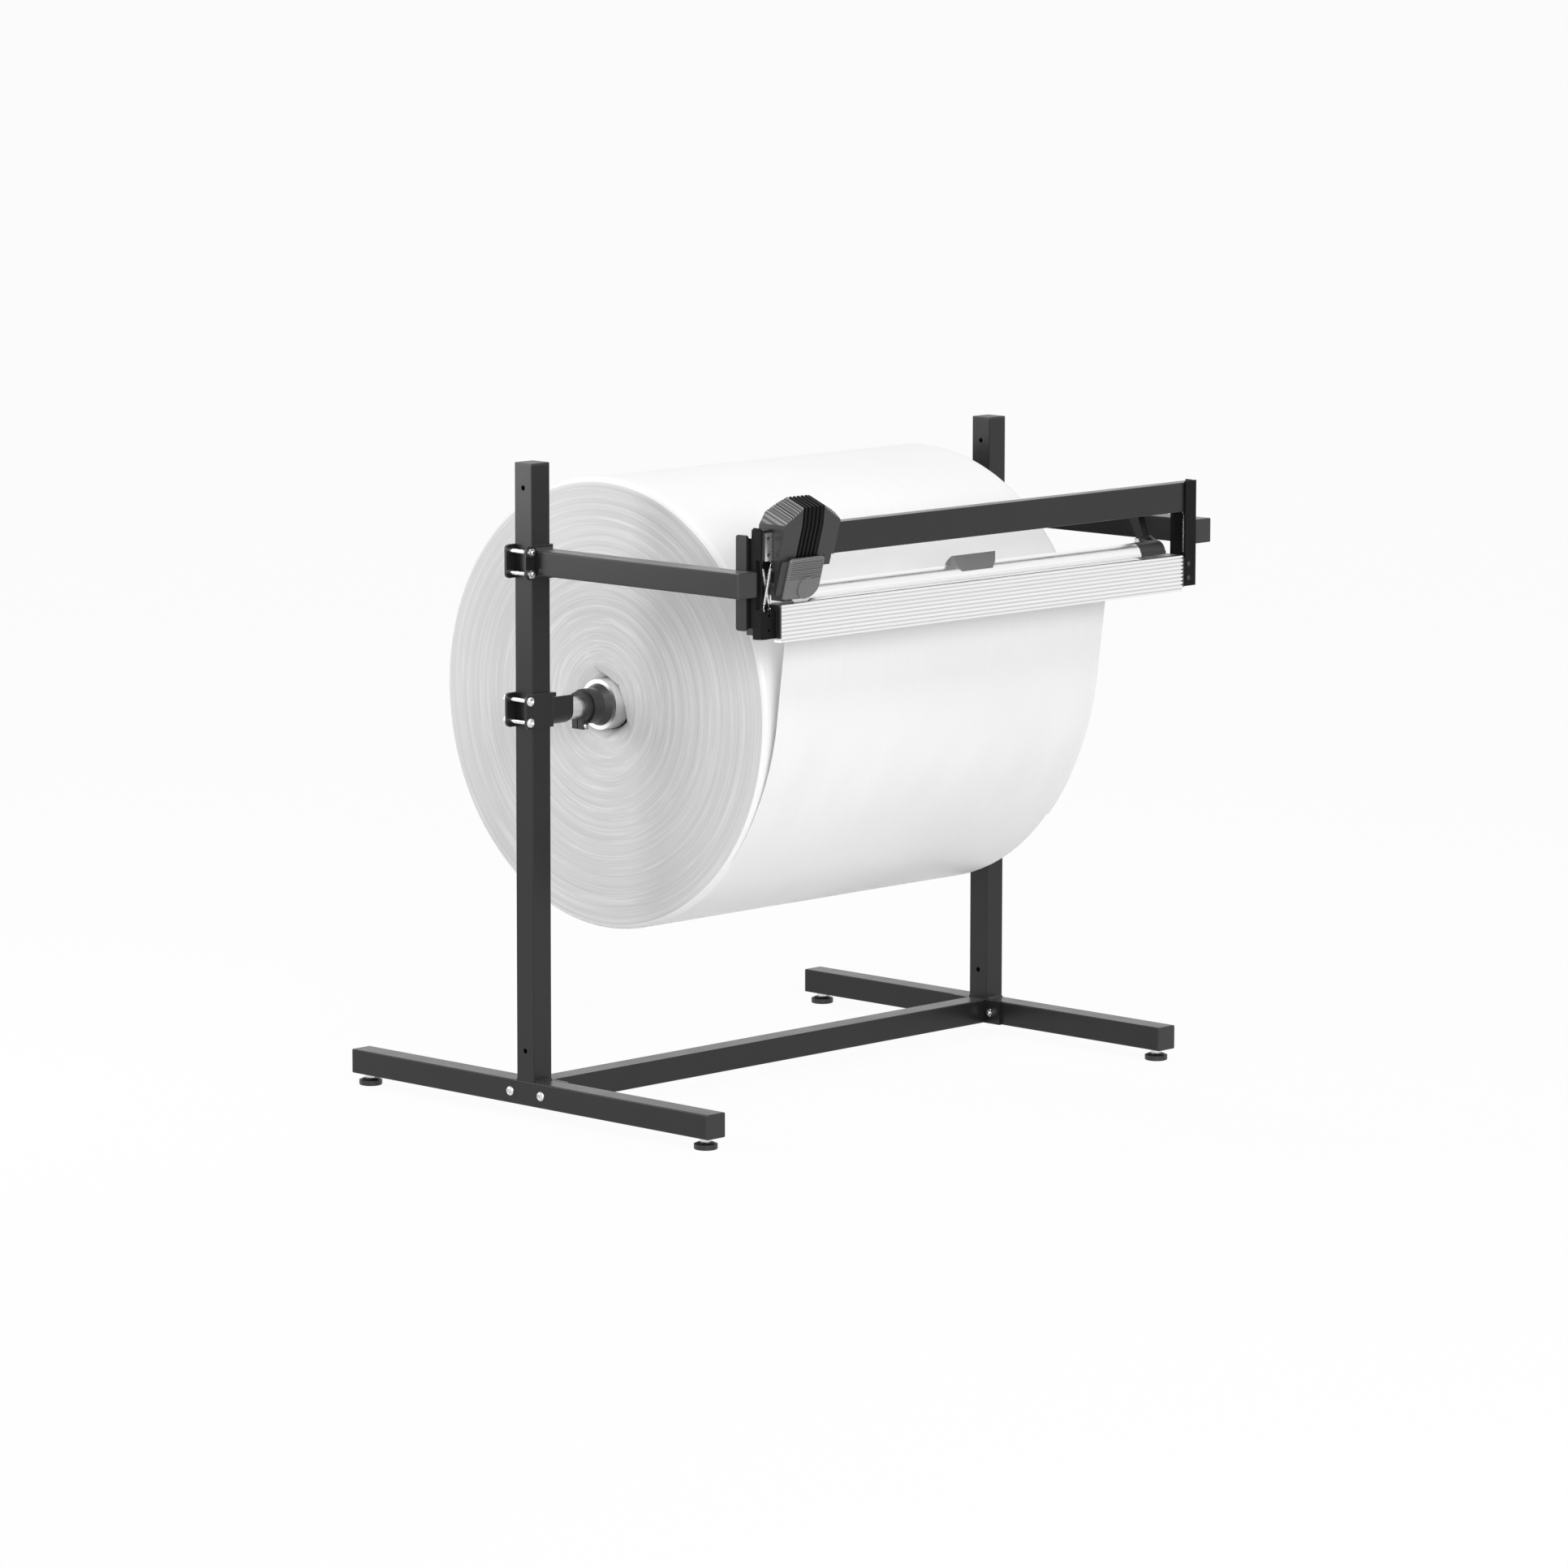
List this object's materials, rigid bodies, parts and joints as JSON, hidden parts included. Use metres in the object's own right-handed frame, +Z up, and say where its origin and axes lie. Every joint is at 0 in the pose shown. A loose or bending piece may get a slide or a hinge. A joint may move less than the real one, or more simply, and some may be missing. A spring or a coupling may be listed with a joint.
{
  "type": "film roll cutting stand",
  "caption": "Floor-standing square-tube stand that holds a wide roll of packing film and cuts lengths from it with a sliding knife above a ribbed rail and a hold-down bar.",
  "frame": {"origin": "on the floor, midway between the ends and between the front and back of the whole object", "axes": "+Z up, +X along the cutting rail from the knife's parking end, -Y towards the user"},
  "size_m": [1.21, 0.975, 1.112],
  "materials": {
    "frame_paint": "powder coat",
    "black_plastic": "fine grain",
    "grey_plastic": "fine grain",
    "aluminium": "anodised satin",
    "zinc": "bright zinc",
    "blade_steel": "ground",
    "film": "soft translucent film"
  },
  "bodies": {
    "stand": {"left_upright": "frame_paint", "left_foot_bar": "frame_paint", "left_front_foot": "black_plastic", "left_rear_foot": "black_plastic", "right_upright": "frame_paint", "right_foot_bar": "frame_paint", "right_front_foot": "black_plastic", "right_rear_foot": "black_plastic", "upright_caps": "black_plastic", "foot_bar_caps": "black_plastic", "cross_tube": "frame_paint", "cross_tube_bolts": "zinc", "cross_tube_nuts": "zinc", "foot_nuts": "zinc", "left_arm_clamp": "frame_paint", "left_arm": "frame_paint", "left_cradle_clamp": "frame_paint", "right_arm_clamp": "frame_paint", "right_arm": "frame_paint", "right_cradle_clamp": "frame_paint", "arm_caps": "black_plastic", "arm_clamp_bolts": "zinc", "arm_clamp_nuts": "zinc", "cradle_clamp_bolts": "zinc", "cradle_clamp_nuts": "zinc", "film_web": "film", "left_bracket": "frame_paint", "left_housing": "frame_paint", "right_bracket": "frame_paint", "right_housing": "frame_paint", "housing_screws": "zinc", "guide_beam": "frame_paint", "stop_plate": "zinc", "cutting_rail": "aluminium", "left_rail_cap": "black_plastic", "right_rail_cap": "black_plastic", "left_fore_spring": "zinc", "left_rear_spring": "zinc", "right_spring": "zinc", "left_hanger": "frame_paint", "right_hanger": "frame_paint", "pivot_pins": "zinc"},
    "roll": {"roll_shaft": "aluminium", "left_core_plug": "aluminium", "left_chuck": "black_plastic", "right_core_plug": "aluminium", "right_chuck": "black_plastic", "chuck_screws": "zinc", "film_roll": "film"},
    "knife": {"cutter_head": "grey_plastic", "head_band": "black_plastic", "blade_cover": "grey_plastic", "blade_axle": "zinc"},
    "blade": {"blade_wheel": "blade_steel"},
    "bar": {"hold_down_bar": "aluminium", "grip": "grey_plastic", "left_bar_end": "black_plastic", "right_bar_end": "black_plastic"}
  },
  "joints": [
    {"name": "roll_spin", "type": "hinge", "parent": "stand", "child": "roll", "pos_m": [0, 0.05445, 0.688], "axis": [1, 0, 0], "continuous": true},
    {"name": "knife_slide", "type": "slide", "parent": "stand", "child": "knife", "axis": [1, 0, 0], "range_m": [0, 0.89]},
    {"name": "blade_spin", "type": "hinge", "parent": "knife", "child": "blade", "pos_m": [-0.444, -0.45305, 0.9355], "axis": [0, 1, 0], "continuous": true},
    {"name": "bar_lift", "type": "hinge", "parent": "stand", "child": "bar", "pos_m": [0, -0.40755, 0.9335], "axis": [-1, 0, 0], "range_deg": [0, 25]}
  ]
}
